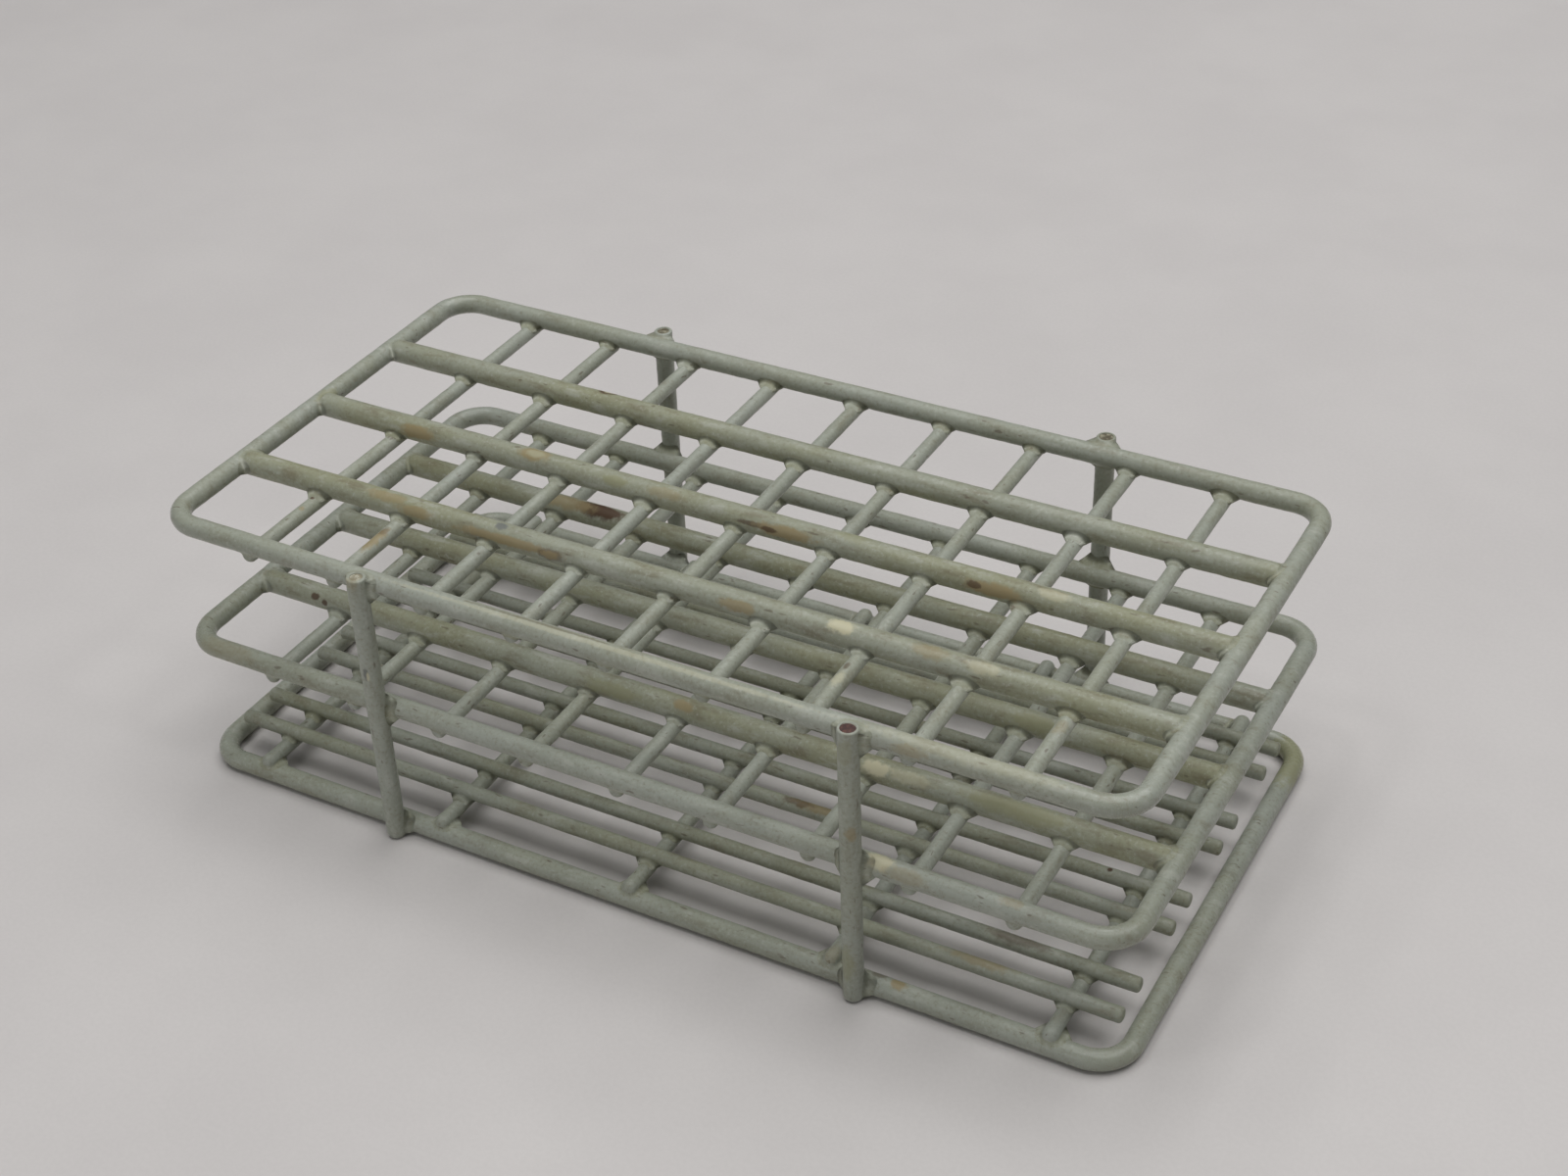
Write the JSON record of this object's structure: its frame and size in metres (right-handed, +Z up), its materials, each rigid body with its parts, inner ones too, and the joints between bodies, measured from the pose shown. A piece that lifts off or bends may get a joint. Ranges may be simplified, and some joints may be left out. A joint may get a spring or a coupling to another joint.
{
  "type": "test tube rack",
  "caption": "Free-standing coated wire rack that holds test tubes upright in a grid, with three welded wire shelves on straight corner legs.",
  "frame": {"origin": "centre of the rack's footprint, on the surface it stands on", "axes": "+X along the rack's long side, +Y across it, +Z up"},
  "size_m": [0.25, 0.133, 0.0762],
  "materials": {
    "frame_coat": "satin thermoplastic coat over steel wire, glossier on the bends, dulled and lightly stained",
    "bar_coat": "satin thermoplastic coat over steel wire, yellowed and stained along the top",
    "thin_wire_coat": "satin thermoplastic coat over steel wire, faintly lumpy",
    "leg_coat": "satin thermoplastic coat over steel wire, worn through to rusty steel on the top ends"
  },
  "bodies": {
    "root": {"base_frame": "frame_coat", "middle_frame": "frame_coat", "top_frame": "frame_coat", "middle_bar_1": "bar_coat", "middle_bar_2": "bar_coat", "middle_bar_3": "bar_coat", "top_bar_1": "bar_coat", "top_bar_2": "bar_coat", "top_bar_3": "bar_coat", "middle_cross_wire_1": "thin_wire_coat", "middle_cross_wire_2": "thin_wire_coat", "middle_cross_wire_3": "thin_wire_coat", "middle_cross_wire_4": "thin_wire_coat", "middle_cross_wire_5": "thin_wire_coat", "middle_cross_wire_6": "thin_wire_coat", "middle_cross_wire_7": "thin_wire_coat", "middle_cross_wire_8": "thin_wire_coat", "middle_cross_wire_9": "thin_wire_coat", "top_cross_wire_1": "thin_wire_coat", "top_cross_wire_2": "thin_wire_coat", "top_cross_wire_3": "thin_wire_coat", "top_cross_wire_4": "thin_wire_coat", "top_cross_wire_5": "thin_wire_coat", "top_cross_wire_6": "thin_wire_coat", "top_cross_wire_7": "thin_wire_coat", "top_cross_wire_8": "thin_wire_coat", "top_cross_wire_9": "thin_wire_coat", "base_cross_wire_1": "thin_wire_coat", "base_cross_wire_2": "thin_wire_coat", "base_cross_wire_3": "thin_wire_coat", "base_cross_wire_4": "thin_wire_coat", "base_cross_wire_5": "thin_wire_coat", "tube_rest_1": "thin_wire_coat", "tube_rest_2": "thin_wire_coat", "tube_rest_3": "thin_wire_coat", "tube_rest_4": "thin_wire_coat", "tube_rest_5": "thin_wire_coat", "tube_rest_6": "thin_wire_coat", "tube_rest_7": "thin_wire_coat", "tube_rest_8": "thin_wire_coat", "leg_front_left": "leg_coat", "leg_front_right": "leg_coat", "leg_back_left": "leg_coat", "leg_back_right": "leg_coat"}
  },
  "joints": []
}
